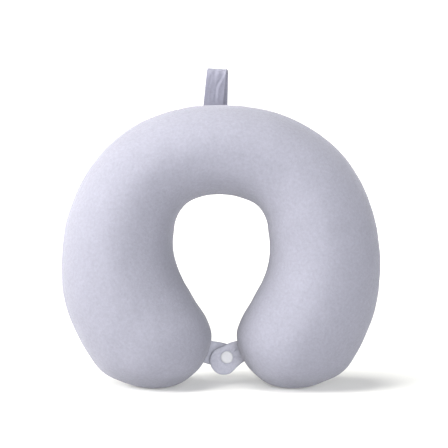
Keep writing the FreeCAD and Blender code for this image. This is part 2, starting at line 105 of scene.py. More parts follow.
def section_rows():
    """Right half, crown to lobe tip: centre x and z, the half width as a vector, and the half depth."""
    rows = []
    for angle in np.arange(0.0, 121.0, 1.0):
        half = HALF_WIDTH + WIDTH_GAIN * growth(angle, 0.85)
        x, z = outline_point(angle)
        a = math.radians(angle)
        rows.append([x - math.sin(a) * half, z - math.cos(a) * half, math.sin(a) * half,
                     math.cos(a) * half, HALF_DEPTH + DEPTH_GAIN * growth(angle, 1.0)])
    a = math.radians(LOBE_ANGLE)
    tilts, drawn = zip(*DRAWN_IN)
    for tilt in np.arange(6.0, 90.5, 1.0):
        t = math.radians(tilt)
        pull = float(np.interp(tilt, tilts, drawn))
        along, half = LOBE_RADIUS * math.sin(t), LOBE_RADIUS * math.cos(t) - pull
        rows.append([LOBE_X + math.cos(a) * along + math.sin(a) * pull,
                     LOBE_Z - math.sin(a) * along + math.cos(a) * pull,
                     math.sin(a) * half, math.cos(a) * half, LOBE_DEPTH * math.cos(t)])
    return np.array(rows)


def whole_path(count):
    """Sections evenly spaced from the left lobe's tip to the right one's, with the joins eased."""
    right = section_rows()
    left = right[:0:-1] * np.array([-1, 1, -1, 1, 1])
    table = np.vstack([left, right])
    outer, inner = table[:, :2] + table[:, 2:4], table[:, :2] - table[:, 2:4]
    step = (np.linalg.norm(np.diff(outer, axis=0), axis=1)
            + np.linalg.norm(np.diff(inner, axis=0), axis=1)) / 2
    travel = np.concatenate([[0.0], np.cumsum(step)])
    fine = np.linspace(0.0, travel[-1], 1600)
    even = np.column_stack([np.interp(fine, travel, column) for column in table.T])
    spread = int(EASE / fine[1])
    beyond = np.array([1, 1, -1, -1, -1])                    # past a tip the section turns over
    before, after = even[3 * spread:0:-1] * beyond, even[-2:-3 * spread - 2:-1] * beyond
    bell = np.exp(-0.5 * (np.arange(-3 * spread, 3 * spread + 1) / spread) ** 2)
    bell /= bell.sum()
    longer = np.vstack([before, even, after])
    eased = np.column_stack([np.convolve(column, bell, "valid") for column in longer.T])
    at = np.linspace(0.0, travel[-1], count)
    return np.column_stack([np.interp(at, fine, column) for column in eased.T])


def settle(points):
    """Uneven lobes, fuller at their lower outer corners, and a foot flattened softly on the floor."""
    x, y, z = points.copy().T
    side = np.sign(x)
    low = smoothstep(150.0, 60.0, z)
    zip_held = smoothstep(60, 100, x) * smoothstep(-22, 12, y)
    shifted = np.where(x < 0, smoothstep(-140.0, -60.0, x), 1 - zip_held)
    points[:, 0] += LOBE_SHIFT * low * shifted
    left_full = np.exp(-((z - LEFT_FULL_Z) / LEFT_FULL_SPREAD) ** 2)
    points[:, 0] -= LEFT_FULLNESS * smoothstep(-60.0, -140.0, x) * left_full
    out, down = points[:, 0] * side - LOBE_X - LOBE_SHIFT * side, LOBE_Z - z
    reach = np.hypot(out, down) + 1e-6
    turn = np.degrees(np.arctan2(down, out))
    full = CORNER_FULLNESS * np.exp(-((turn - CORNER_TURN) / CORNER_SPREAD) ** 2)
    full *= smoothstep(15.0, 45.0, reach)
    full *= np.clip(1 - (y / LOBE_DEPTH) ** 2, 0, 1)
    points[:, 0] += side * full * out / reach
    z = z - full * down / reach
    points[:, 2] = np.where(z < FOOT_REACH, FOOT_SOFTNESS * np.logaddexp(0.0, z / FOOT_SOFTNESS), z)
    return points


def body_surface(rows, around):
    """Closed quad mesh of the pillow's outside, in millimetres."""
    table = whole_path(rows + 2)
    cx, cz, wide_x, wide_z, deep = (column[:, None] for column in table[1:-1].T)
    turn = np.arange(around) / around * 2 * math.pi
    cos, sin = np.cos(turn)[None, :], np.sin(turn)[None, :]
    points = np.stack([cx + wide_x * cos, deep * sin, cz + wide_z * cos], axis=-1).reshape(-1, 3)
    tips = [[table[0, 0], 0.0, table[0, 1]], [table[-1, 0], 0.0, table[-1, 1]]]
    points = np.vstack([points, tips])
    faces = []
    for i in range(rows - 1):
        for j in range(around):
            k = (j + 1) % around
            faces.append((i * around + j, i * around + k, (i + 1) * around + k, (i + 1) * around + j))
    first, last = rows * around, rows * around + 1
    for j in range(around):
        k = (j + 1) % around
        faces.append((first, k, j))
        faces.append((last, (rows - 1) * around + j, (rows - 1) * around + k))
    return points, faces


def new_object(name, points, faces):
    mesh = bpy.data.meshes.new(name)
    mesh.from_pydata([tuple(p) for p in points], [], faces)
    mesh.update()
    obj = bpy.data.objects.new(name, mesh)
    bpy.context.scene.collection.objects.link(obj)
    bm = bmesh.new()
    bm.from_mesh(mesh)
    bmesh.ops.recalc_face_normals(bm, faces=bm.faces)
    bm.to_mesh(mesh)
    bm.free()
    mesh.shade_smooth()
    return obj


def weld(obj, near=0.01):
    """Merge points that lie together and turn every face outward."""
    bm = bmesh.new()
    bm.from_mesh(obj.data)
    bmesh.ops.remove_doubles(bm, verts=bm.verts, dist=near * MM)
    bmesh.ops.recalc_face_normals(bm, faces=bm.faces)
    bm.to_mesh(obj.data)
    bm.free()
    obj.data.shade_smooth()


# ---- materials ----------------------------------------------------------------------------------

def principled(name, colour, rough=0.5, **extra):
    mat = bpy.data.materials.new(name)
    mat.use_nodes = True
    shader = mat.node_tree.nodes["Principled BSDF"]
    shader.inputs["Base Color"].default_value = (*colour, 1)
    shader.inputs["Roughness"].default_value = rough
    for key, value in extra.items():
        shader.inputs[key].default_value = value
    return mat, shader


def add(tree, kind, **inputs):
    node = tree.nodes.new(kind)
    for key, value in inputs.items():
        node.inputs[key].default_value = value
    return node


def ranged(tree, source, low, high, to_low, to_high):
    """Maps a node's output from low..high to to_low..to_high."""
    node = add(tree, "ShaderNodeMapRange")
    for key, value in (("From Min", low), ("From Max", high), ("To Min", to_low), ("To Max", to_high)):
        node.inputs[key].default_value = value
    tree.links.new(source, node.inputs["Value"])
    return node


def tinted(tree, shader, colour, factor):
    """Base colour scaled by a pattern."""
    tint = tree.nodes.new("ShaderNodeVectorMath")
    tint.operation = "SCALE"
    tint.inputs[0].default_value = colour
    tree.links.new(factor, tint.inputs["Scale"])
    tree.links.new(tint.outputs[0], shader.inputs["Base Color"])


def velour(name, colour, pile=1.0):
    """Short brushed pile: soft sheen, faint nap patches and a fine fuzzy bump."""
    mat, shader = principled(name, colour, 0.95)
    shader.inputs["Specular IOR Level"].default_value = 0.12
    shader.inputs["Sheen Weight"].default_value = 0.20
    shader.inputs["Sheen Roughness"].default_value = 0.45
    shader.inputs["Sheen Tint"].default_value = (0.93, 0.93, 1.0, 1)
    tree = mat.node_tree
    link = tree.links.new
    place = add(tree, "ShaderNodeTexCoord").outputs["Object"]
    nap = add(tree, "ShaderNodeTexNoise", Scale=55.0, Detail=5.0, Roughness=0.62)
    grain = add(tree, "ShaderNodeTexNoise", Scale=1150.0, Detail=3.0, Roughness=0.7)
    tuft = add(tree, "ShaderNodeTexNoise", Scale=380.0, Detail=4.0, Roughness=0.7)
    for node in (nap, grain, tuft):
        link(place, node.inputs["Vector"])
    mottle = ranged(tree, nap.outputs["Fac"], 0.32, 0.68, 0.978, 1.022)
    speck = ranged(tree, tuft.outputs["Fac"], 0.3, 0.7, 0.91, 1.09)
    both = tree.nodes.new("ShaderNodeMath")
    both.operation = "MULTIPLY"
    link(mottle.outputs["Result"], both.inputs[0])
    link(speck.outputs["Result"], both.inputs[1])
    tinted(tree, shader, colour, both.outputs[0])
    fuzz = add(tree, "ShaderNodeBump", Strength=0.35 * pile, Distance=0.0006)
    link(grain.outputs["Fac"], fuzz.inputs["Height"])
    lay = add(tree, "ShaderNodeBump", Strength=0.3 * pile, Distance=0.0012)
    link(tuft.outputs["Fac"], lay.inputs["Height"])
    link(fuzz.outputs["Normal"], lay.inputs["Normal"])
    link(lay.outputs["Normal"], shader.inputs["Normal"])
    return mat


PILLOW_COLOUR = (0.177, 0.177, 0.212)
VELOUR = velour("velour", PILLOW_COLOUR)
# painted light: the tabs' velour is about 1.8 times lighter than the body's, standing in for the light that
# the lobes' shade keeps from the tabs
TAB_VELOUR_PAINTED_LIGHT = velour("tab_velour", (0.325, 0.325, 0.378), pile=0.8)
STRAP = velour("strap", (0.160, 0.160, 0.200), pile=0.5)


def textured(name, colour, rough, pattern, scale, contrast, bump, depth, **extra):
    """Surface whose tone and height follow one pattern: a weave, a knit, foam cells or a fine grain."""
    mat, shader = principled(name, colour, rough, **extra)
    tree = mat.node_tree
    link = tree.links.new
    place = add(tree, "ShaderNodeTexCoord").outputs["Object"]
    if pattern == "weave":
        threads = []
        for direction in ("X", "Z"):
            wave = add(tree, "ShaderNodeTexWave", Scale=scale, Distortion=0.6, Detail=1.0)
            wave.bands_direction = direction
            link(place, wave.inputs["Vector"])
            threads.append(wave.outputs["Fac"])
        cross = tree.nodes.new("ShaderNodeMath")
        cross.operation = "MAXIMUM"
        link(threads[0], cross.inputs[0])
        link(threads[1], cross.inputs[1])
        height = cross.outputs[0]
    elif pattern == "cells":
        cell = add(tree, "ShaderNodeTexVoronoi", Scale=scale)
        link(place, cell.inputs["Vector"])
        height = cell.outputs["Distance"]
    else:
        grain = add(tree, "ShaderNodeTexNoise", Scale=scale, Detail=4.0, Roughness=0.6)
        link(place, grain.inputs["Vector"])
        height = grain.outputs["Fac"]
    tone = ranged(tree, height, 0.2, 0.8, 1 - contrast, 1 + contrast)
    tinted(tree, shader, colour, tone.outputs["Result"])
    relief = add(tree, "ShaderNodeBump", Strength=bump, Distance=depth)
    link(height, relief.inputs["Height"])
    link(relief.outputs["Normal"], shader.inputs["Normal"])
    return mat


TAPE = textured("tape", (0.158, 0.158, 0.198), 0.85, "weave", 420.0, 0.14, 0.5, 0.0003)
COIL = textured("coil", (0.21, 0.21, 0.262), 0.4, "grain", 900.0, 0.05, 0.15, 0.0001)
METAL = textured("slider_metal", (0.26, 0.26, 0.31), 0.38, "grain", 700.0, 0.08, 0.12, 0.0001, Metallic=0.7)
PLASTIC = textured("snap_plastic", (0.41, 0.41, 0.435), 0.34, "grain", 1400.0, 0.02, 0.08, 0.00006)
LABEL = textured("label", (0.34, 0.34, 0.35), 0.6, "weave", 700.0, 0.06, 0.4, 0.0001)
LINER = textured("liner_knit", (0.34, 0.34, 0.34), 0.9, "weave", 300.0, 0.10, 0.5, 0.0004)
FOAM = textured("foam", (0.38, 0.36, 0.30), 0.9, "cells", 900.0, 0.08, 0.5, 0.0003)
THREAD = textured("thread", (0.17, 0.17, 0.205), 0.8, "weave", 1200.0, 0.12, 0.4, 0.0002)


def paint(obj, mat):
    obj.data.materials.clear()
    obj.data.materials.append(mat)


# ---- cover: two panels sewn along the seam plane ------------------------------------------------

CLOTH_SCALE = 0.01                                            # fabric is worked at ten times real size
CLOTH_FRAMES, STUFFING, SLACK, STIFFNESS = 14, 2.0, 0.012, 0.5
MOST_SWELL = 1.3                                              # mm, the furthest a point may move


def side_centre():
    x, z = outline_point(100.0)
    a = math.radians(100.0)
    return x - SIDE_RADIUS * math.sin(a), z - SIDE_RADIUS * math.cos(a)


SIDE_X, SIDE_Z = side_centre()
SLOT_RIM = SLOT_HALF * math.cos(math.radians(ZIP_TILT))       # from the seam to the slot's edge


def vertex_rows(mesh, what):
    values = np.empty(len(mesh.vertices) * 3)
    mesh.vertices.foreach_get(what, values)
    return values.reshape(-1, 3)


def blurred(grid, reach):
    """Grid of rows by turns, smoothed along the tube and round it."""
    bell = np.hanning(2 * reach + 3)[1:-1]
    bell /= bell.sum()
    along = np.stack([np.convolve(np.pad(column, reach, mode="edge"), bell, "valid") for column in grid.T],
                     axis=1)
    return np.stack([np.convolve(np.pad(row, reach, mode="wrap"), bell, "valid") for row in along])


def fabric_swell(rows, around):
    """Cloth pass on a coarse body: slack fabric, stuffed, held at its seam, foot, zip, loop and tabs."""
    points, faces = body_surface(rows, around)
    sheet = new_object("cover_fabric", points * CLOTH_SCALE, faces)
    free = calm_places(points) * smoothstep(1.0, 7.0, abs(points[:, 1] - SEAM_Y))
    group = sheet.vertex_groups.new(name="held")
    for i, share in enumerate(free):
        group.add([i], float(1 - share), "REPLACE")
    cloth = sheet.modifiers.new("cloth", "CLOTH")
    fabric = cloth.settings
    fabric.vertex_group_mass = "held"
    fabric.quality = 5
    fabric.use_pressure = True
    fabric.uniform_pressure_force = STUFFING
    fabric.shrink_min = -SLACK
    fabric.bending_stiffness = STIFFNESS
    fabric.effector_weights.gravity = 0.0
    cloth.point_cache.frame_start, cloth.point_cache.frame_end = 1, CLOTH_FRAMES
    for frame_number in range(1, CLOTH_FRAMES + 1):
        bpy.context.scene.frame_set(frame_number)
    normals = vertex_rows(sheet.data, "normal")
    graph = bpy.context.evaluated_depsgraph_get()
    stuffed = bpy.data.meshes.new_from_object(sheet.evaluated_get(graph))
    moved = vertex_rows(stuffed, "co") / CLOTH_SCALE - points
    swell = np.sum(moved * normals, axis=1)[:rows * around].reshape(rows, around)
    bpy.context.scene.frame_set(1)
    bpy.data.objects.remove(sheet)
    local = blurred(swell, 1) - blurred(swell, 9)
    return np.clip(local, -MOST_SWELL, MOST_SWELL)


def carried_over(swell, rows, around):
    """Coarse grid's swell read on the fine grid; the two tips stay where they are."""
    coarse_rows, coarse_around = swell.shape
    at = np.arange(1, rows + 1) / (rows + 1)
    known = np.arange(1, coarse_rows + 1) / (coarse_rows + 1)
    along = np.stack([np.interp(at, known, column) for column in swell.T], axis=1)
    turn = np.arange(around) / around
    known = np.arange(coarse_around) / coarse_around
    fine = np.stack([np.interp(turn, known, row, period=1.0) for row in along])
    return np.append(fine.ravel(), [0.0, 0.0])


def stuffed_body():
    """The closed body swollen by its cloth pass, with finer faces beside the seam."""
    points, faces = body_surface(ROWS, AROUND)
    body = new_object("cover_body", points, faces)
    swell = carried_over(fabric_swell(ROWS // 2, AROUND // 2), ROWS, AROUND)
    normals = vertex_rows(body.data, "normal")
    body.data.vertices.foreach_set("co", (points + normals * swell[:, None]).ravel())
    body.data.update()
    bm = bmesh.new()
    bm.from_mesh(body.data)
    bpy.data.objects.remove(body)
    near = [e for e in bm.edges if all(abs(v.co.y - SEAM_Y) < 5.5 for v in e.verts)]
    bmesh.ops.subdivide_edges(bm, edges=near, cuts=2, use_grid_fill=True)
    return bm


def zip_angle(co):
    """How far round the side arc a place is; 0 away from that side."""
    return math.degrees(math.atan2(co.x - SIDE_X, co.z - SIDE_Z)) if co.x > 60 else 0.0


def by_zip(co):
    return co.x > 110 and SLOT_START - 6 < zip_angle(co) < SLOT_END + 6 and abs(co.y - SEAM_Y) < 8


def cut_plane(bm, where, normal, wanted):
    """Cut the faces whose middle is wanted along a plane."""
    chosen = [f for f in bm.faces if wanted(f.calc_center_median())]
    geometry = chosen + list({e for f in chosen for e in f.edges})
    geometry += list({v for f in chosen for v in f.verts})
    bmesh.ops.bisect_plane(bm, geom=geometry, plane_co=where, plane_no=normal, dist=1e-5)


def open_slot(bm):
    """Cut along the four edges of the zip's slot and take out the faces inside."""
    for way in (-1, 1):
        cut_plane(bm, (0, SEAM_Y + way * SLOT_RIM, 0), (0, 1, 0), by_zip)
    for angle in (SLOT_START, SLOT_END):
        a = math.radians(angle)
        cut_plane(bm, (SIDE_X, 0, SIDE_Z), (math.cos(a), 0, -math.sin(a)), by_zip)
    slot = [f for f in bm.faces if by_zip(f.calc_center_median())
            and SLOT_START < zip_angle(f.calc_center_median()) < SLOT_END
            and abs(f.calc_center_median().y - SEAM_Y) < SLOT_RIM]
    bmesh.ops.delete(bm, geom=slot, context="FACES")
    bm.normal_update()


def roll_edges(bm):
    """Turn the cloth in along the seam, and along the slot's edges beside the zip."""
    for v in bm.verts:
        off = abs(v.co.y - SEAM_Y)
        deep = 1.3 * math.exp(-(off / 0.9) ** 2) + 0.45 * math.exp(-(off / 3.2) ** 2)
        if by_zip(v.co):
            inside = smoothstep(SLOT_START - 2.5, SLOT_START, zip_angle(v.co))
            inside *= smoothstep(SLOT_END + 2.5, SLOT_END, zip_angle(v.co))
            edge = 0.7 * math.exp(-((off - SLOT_RIM) / 0.8) ** 2)
            deep = deep * (1 - inside) + edge * inside
        v.co -= v.normal * deep


def cover_panels():
    """The closed body cut at the seam into two shells, edges rolled in, with the zip's slot left open."""
    bm = stuffed_body()
    cut_plane(bm, (0, SEAM_Y, 0), (0, 1, 0), lambda co: abs(co.y - SEAM_Y) < 6)
    open_slot(bm)
    roll_edges(bm)
    panels = []
    for name, keep in (("cover_front", -1), ("cover_rear", 1)):
        half_mesh = bm.copy()
        gone = [f for f in half_mesh.faces if (f.calc_center_median().y - SEAM_Y) * keep < 0]
        bmesh.ops.delete(half_mesh, geom=gone, context="FACES")
        mesh = bpy.data.meshes.new(name)
        half_mesh.to_mesh(mesh)
        half_mesh.free()
        panels.append(finish_panel(name, mesh))
    bm.free()
    return panels


def calm_places(co):
    """0 where the cover is held by the floor, the zip, the label, the loop or a tab, 1 where it is free."""
    x, y, z = co.T
    calm = smoothstep(3.0, 20.0, z)
    for px, py, pz, reach in ((LOOP_X, SEAM_Y, LOOP_Z, 22.0), (ROOT_X, SEAM_Y, ROOT_Z, 24.0),
                              (-ROOT_X, SEAM_Y, ROOT_Z, 24.0), (-134.0, 33.0, 107.0, 36.0)):
        away = np.sqrt((x - px) ** 2 + (y - py) ** 2 + (z - pz) ** 2)
        calm = calm * smoothstep(0.6 * reach, 1.3 * reach, away)
    zip_side = smoothstep(95.0, 115.0, x) * smoothstep(35.0, 50.0, z) * smoothstep(215.0, 195.0, z)
    return calm * (1 - zip_side * smoothstep(22.0, 10.0, abs(y - SEAM_Y)))


def finish_panel(name, mesh):
    """One sewn panel: settled, faintly uneven, given its thickness inward, and painted."""
    co = settle(vertex_rows(mesh, "co"))
    normals = vertex_rows(mesh, "normal")
    calm = calm_places(co)
    for i in range(len(co)):
        p = Vector(co[i])
        soft = noise.fractal(p * 0.021 + Vector((3.1, 0.7, 5.2)), 1.0, 2.0, 3)
        co[i] += normals[i] * soft * UNDULATION * calm[i]
    mesh.vertices.foreach_set("co", (co * MM).ravel())
    mesh.update()
    obj = bpy.data.objects.new(name, mesh)
    bpy.context.scene.collection.objects.link(obj)
    solid = obj.modifiers.new("thick", "SOLIDIFY")
    solid.thickness, solid.offset = COVER * MM, -1.0
    apply_modifiers(obj)
    obj.data.shade_smooth()
    paint(obj, VELOUR)
    return obj


def apply_modifiers(obj):
    graph = bpy.context.evaluated_depsgraph_get()
    mesh = bpy.data.meshes.new_from_object(obj.evaluated_get(graph))
    obj.modifiers.clear()
    obj.data = mesh


front, rear = cover_panels()
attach(front, "pillow")
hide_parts("cover_front_panel")
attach(rear, "pillow")
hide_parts("cover_back_panel")


# ---- care label ---------------------------------------------------------------------------------
LABEL_LOW, LABEL_HEIGHT, LABEL_REACH = 96.0, 22.0, 34.0
LABEL_UNDER, LABEL_OVER = 0.25, 0.6                           # its two faces, above the cover
TUBE_X = -98.0                                                # middle of the tube beside the label


def care_label():
    """Blank label sewn in at the seam, lying round the rear cover."""
    surface = BVHTree.FromPolygons([v.co for v in rear.data.vertices],
                                   [p.vertices[:] for p in rear.data.polygons])
    rows, columns = 16, 26
    layers = {LABEL_UNDER: [], LABEL_OVER: []}
    for z in np.linspace(LABEL_LOW, LABEL_LOW + LABEL_HEIGHT, rows):
        places, outs = [], []
        for angle in np.radians(np.linspace(8, 85, 150)):
            out = Vector((-math.cos(angle), math.sin(angle), 0.0))
            start = (Vector((TUBE_X, 0.0, z)) + out * 120.0) * MM
            hit, normal = surface.ray_cast(start, -out)[:2]
            if hit is not None and hit.y > (SEAM_Y + 0.3) * MM:
                places.append(np.array(hit) / MM)
                outs.append(np.array(normal))
        places, outs = np.array(places), np.array(outs)
        travel = np.append(0.0, np.cumsum(np.linalg.norm(np.diff(places, axis=0), axis=1)))
        for share in np.linspace(0, 1, columns):
            at = share * LABEL_REACH
            foot = np.array([np.interp(at, travel, column) for column in places.T])
            out = np.array([np.interp(at, travel, column) for column in outs.T])
            for lift, layer in layers.items():
                layer.append(foot + out * (lift + 0.5 * share ** 3))
    block = rows * columns
    faces = []
    for i in range(rows - 1):
        for j in range(columns - 1):
            corner = i * columns + j
            face = (corner, corner + 1, corner + columns + 1, corner + columns)
            faces += [face, tuple(k + block for k in reversed(face))]
    rim = list(range(columns)) + [i * columns + columns - 1 for i in range(1, rows)]
    rim += [(rows - 1) * columns + j for j in range(columns - 2, -1, -1)]
    rim += [i * columns for i in range(rows - 2, 0, -1)]
    for a, b in zip(rim, rim[1:] + rim[:1]):
        faces.append((b, a, a + block, b + block))
    label = new_object("care_label_cloth", np.array(layers[LABEL_UNDER] + layers[LABEL_OVER]) * MM, faces)
    paint(label, LABEL)
    return label


label = care_label()
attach(label, "pillow")
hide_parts("care_label")


# ---- snap tabs ----------------------------------------------------------------------------------

def tab_half_thickness(r, edge, cap):
    """Half thickness of the padded flap at radius r from the snap, where its edge is at radius edge."""
    share = np.clip(r / edge, 0, 1)
    swell = 2.15 * np.sqrt(np.clip(1 - share ** 5, 0, 1))
    pressed = 1.0 - 0.52 * np.exp(-(np.clip(r - cap, 0, None) / 1.5) ** 2)
    return swell * pressed


def tab_edge(run, rise, length, radius, narrow, past):
    """Distance from the snap to the flap's edge: a round end, sides that converge, a squared root."""
    taper = (radius - narrow) / (length + past)
    straight = (radius - taper * past) / (abs(rise) + taper * run) if run > -0.9 else 99.0
    if run * straight < -past:
        return -past * run + math.sqrt(radius ** 2 - (past * rise) ** 2)
    if run <= 0.05:
        return straight
    return (straight ** -9 + (length / run) ** -9) ** (-1 / 9)


def tab_cloth(name, side, middle_y, outer_way, folds, shape, lift, droop):
    """Soft flap from inside its lobe to the round end, which hangs by droop; dimpled round the snap."""
    root = np.array([side * ROOT_X, ROOT_Z + lift])
    snap = np.array([SNAP_X, SNAP_Z])
    toward = root - snap
    reach = float(np.linalg.norm(toward))
    toward /= reach
    across = np.array([-toward[1], toward[0]])
    around, rings = 144, 36
    turn = np.arange(around) / around * 2 * math.pi
    run, rise = np.cos(turn), np.sin(turn)
    edge = np.array([tab_edge(a, b, reach + 6.0, *shape) for a, b in zip(run, rise)])
    share = np.sin(np.linspace(0, 1, rings + 1)[1:] * math.pi / 2)
    points, faces = [], []
    for way in (-1, 1):
        for s in share:
            r = edge * s
            half = tab_half_thickness(r, edge, 6.0)
            crease = np.zeros(around)
            for angle, strength, narrow in folds:
                gap = (turn - math.radians(angle) + math.pi) % (2 * math.pi) - math.pi
                crease += strength * np.exp(-(gap / narrow) ** 2)
            band = smoothstep(5.5, 7.5, r) * smoothstep(0.98, 0.7, s)
            if way == outer_way:
                half = half - crease * band
            wave = 0.35 * np.sin(run * r * 0.42 + 0.8) * np.sin(rise * r * 0.3 + 0.4) * smoothstep(7, 11, r)
            x = snap[0] + toward[0] * r * run + across[0] * r * rise
            z = snap[1] + toward[1] * r * run + across[1] * r * rise
            z = z - droop * smoothstep(6.5, 12.5, r) * smoothstep(0.75, -0.15, run)
            points.append(np.column_stack([x, middle_y + way * half + wave, z]))
    points = np.vstack(points + [np.array([[snap[0], middle_y - 1.0, snap[1]],
                                           [snap[0], middle_y + 1.0, snap[1]]])])
    block = rings * around
    for level in range(2):
        base = level * block
        for i in range(rings - 1):
            for j in range(around):
                k = (j + 1) % around
                faces.append((base + i * around + j, base + i * around + k,
                              base + (i + 1) * around + k, base + (i + 1) * around + j))
        for j in range(around):
            faces.append((2 * block + level, base + j, base + (j + 1) % around))
    for j in range(around):
        k = (j + 1) % around
        faces.append(((rings - 1) * around + j, (rings - 1) * around + k,
                      block + (rings - 1) * around + k, block + (rings - 1) * around + j))
    obj = new_object(name, points * MM, faces)
    weld(obj)
    # painted light: the tab gets the lightened velour in place of the light the lobes shade from it
    paint(obj, TAB_VELOUR_PAINTED_LIGHT)
    return obj, root, toward


FRONT_FOLDS = ((10, 1.0, 0.09), (-26, 0.8, 0.11), (44, 0.75, 0.10), (88, 0.35, 0.16), (150, 0.3, 0.18),
               (215, 0.3, 0.16), (290, 0.4, 0.14))
REAR_FOLDS = ((16, 0.7, 0.11), (-34, 0.6, 0.12), (58, 0.4, 0.14), (120, 0.3, 0.18), (230, 0.3, 0.18))


def make_tab(name, side, middle_y, outer_way, folds, shape, lift, droop, nodes):
    obj, root, toward = tab_cloth(name, side, middle_y, outer_way, folds, shape, lift, droop)
    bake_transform(obj)
    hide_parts(*nodes)


make_tab("front_tab_cloth", 1, 14.9, -1, FRONT_FOLDS, (13.7, 9.3, 3.0), 1.5, 2.3,
         ("front_tab_root", "front_tab_face", "front_tab_lining"))
make_tab("rear_tab_cloth", -1, 21.1, 1, REAR_FOLDS, (12.6, 10.4, 1.0), 0.6, 1.0,
         ("rear_tab_root", "rear_tab_face", "rear_tab_lining"))


def lathe(name, profile, centre, way, steps=96):
    """Turned piece about the snap's axis: profile of (radius, height outward from the cloth)."""
    points, faces = [], []
    rows = len(profile)
    for j in range(steps):
        a = 2 * math.pi * j / steps
        for r, h in profile:
            points.append((centre[0] + r * math.cos(a), centre[1] + way * h, centre[2] + r * math.sin(a)))
    for j in range(steps):
        k = (j + 1) % steps
        for i in range(rows - 1):
            faces.append((j * rows + i, k * rows + i, k * rows + i + 1, j * rows + i + 1))
    obj = new_object(name, np.array(points) * MM, faces)
    weld(obj)
    return obj


def cap_profile():
    """Half section of a snap's cap: a faint hollow, a round shoulder, a rim and its post."""
    profile = [(0.0, 1.2), (1.6, 1.2), (2.6, 1.21), (3.3, 1.25), (3.8, 1.29)]
    for i in range(13):
        a = math.radians(i * 90 / 12)
        profile.append((4.5 + 1.45 * math.sin(a), 0.35 + 0.95 * math.cos(a)))
    profile += [(5.9, 0.1), (5.6, -0.05), (1.1, -0.05), (1.1, -2.8), (0.0, -2.8)]
    return profile


def make_cap(name, face_y, way, body, node):
    obj = lathe(name, cap_profile(), (SNAP_X, face_y, SNAP_Z), way)
    paint(obj, PLASTIC)
    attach(obj, body)
    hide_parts(node)


make_cap("front_cap", 13.7, -1, "front_tab", "snap_cap_front")
make_cap("rear_cap", 22.3, 1, "rear_tab", "snap_cap_rear")


# ---- hanging loop -------------------------------------------------------------------------------
LOOP_WIDTH, LOOP_THICK = 19.2, 1.5
LOOP_RISE, LOOP_RADIUS = 32.6, 4.6
FRONT_LEAN, REAR_LEAN = (-1.9, -1.0), (2.3, 0.8)            # sideways set of each ply, foot and top


def loop_path(steps=120):
    """Middle line of the strap in its own plane: up the front ply, over the top, down the rear ply."""
    ply, low = 0.85, -4.0
    side = []
    for t in np.linspace(0, 1, steps // 3):
        h = low + (LOOP_RISE - low) * t
        side.append((-ply - (LOOP_RADIUS - ply) * smoothstep(0.08, 1.0, t), h))
    top = [(-LOOP_RADIUS * math.cos(a), LOOP_RISE + LOOP_RADIUS * math.sin(a))
           for a in np.linspace(0, math.pi, steps // 3)[1:-1]]
    back = [(-y, h) for y, h in reversed(side)]
    return np.array(side + top + back)


def strap_section():
    """Closed outline of the strap across its width: place across, and -1 to 1 through its thickness."""
    half, bead = LOOP_WIDTH / 2, LOOP_THICK / 2
    flat = np.linspace(bead - half, half - bead, 40)
    edge = np.radians(np.linspace(90, -90, 9)[1:-1])
    ring = [(x, 1.0) for x in flat] + [(half - bead + bead * math.cos(a), math.sin(a)) for a in edge]
    return ring + [(-x, -level) for x, level in ring]


def strap_creases(x, h, rear):
    """How far the cloth bows out at a place on the ply: soft folds that run up and turn at the top."""
    if rear:
        return 0.35 * math.sin(x * 0.5 + 1.0) * math.exp(-((h - 16) / 14) ** 2)
    turning = 1.2 + 6.0 * float(smoothstep(19.0, 35.0, h))
    main = 0.3 * math.exp(-((x - turning - 2.4) / 2.0) ** 2) - 0.34 * math.exp(-((x - turning) / 1.5) ** 2)
    side = -0.22 * math.exp(-((x + 5.6 + 0.6 * math.sin(h * 0.14)) / 1.2) ** 2)
    crown = 0.3 * math.exp(-((h - 33) / 2.5) ** 2) * math.sin(x * 0.9)
    return main + side + crown + 0.4 * noise.noise(Vector((x * 0.25, 2.0, h * 0.07)))


def loop_strap():
    path, ring = loop_path(), strap_section()
    tangent = np.gradient(path, axis=0)
    tangent /= np.linalg.norm(tangent, axis=1)[:, None]
    share = np.linspace(0, 1, len(path))
    points, faces = [], []
    for i, (y, h) in enumerate(path):
        up = float(np.clip(h / LOOP_RISE, 0, 1))
        front_x = FRONT_LEAN[0] + (FRONT_LEAN[1] - FRONT_LEAN[0]) * up
        rear_x = REAR_LEAN[0] + (REAR_LEAN[1] - REAR_LEAN[0]) * up
        shift = front_x + (rear_x - front_x) * float(smoothstep(0.33, 0.67, share[i]))
        free = float(smoothstep(0.03, 0.3, up))
        for x, level in ring:
            out = level * LOOP_THICK / 2 + free * strap_creases(x, h, y > 0)
            points.append((x * (1 - 0.02 * up) + shift, y - tangent[i, 1] * out, h + tangent[i, 0] * out))
    count = len(ring)
    for i in range(len(path) - 1):
        for j in range(count):
            k = (j + 1) % count
            faces.append((i * count + j, i * count + k, (i + 1) * count + k, (i + 1) * count + j))
    faces.append(tuple(range(count)))
    faces.append(tuple((len(path) - 1) * count + j for j in reversed(range(count))))
    lean = Matrix.Rotation(math.radians(LOOP_LEAN), 3, "Y")
    placed = [lean @ Vector(p) + Vector((LOOP_X, SEAM_Y, LOOP_Z)) for p in points]
    obj = new_object("loop_strap", np.array(placed) * MM, faces)
    paint(obj, STRAP)
    return obj


strap = loop_strap()
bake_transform(strap)
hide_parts("hanging_loop", "hanging_loop_tails")

# ---- zip coils ----------------------------------------------------------------------------------
COIL_START, COIL_END = 66.8, 111.5
COIL_INNER, COIL_OUTER, COIL_LOW, COIL_HIGH = 0.35, 2.1, -2.2, -0.65
COIL_PITCH, FILAMENT = 1.25, 0.29


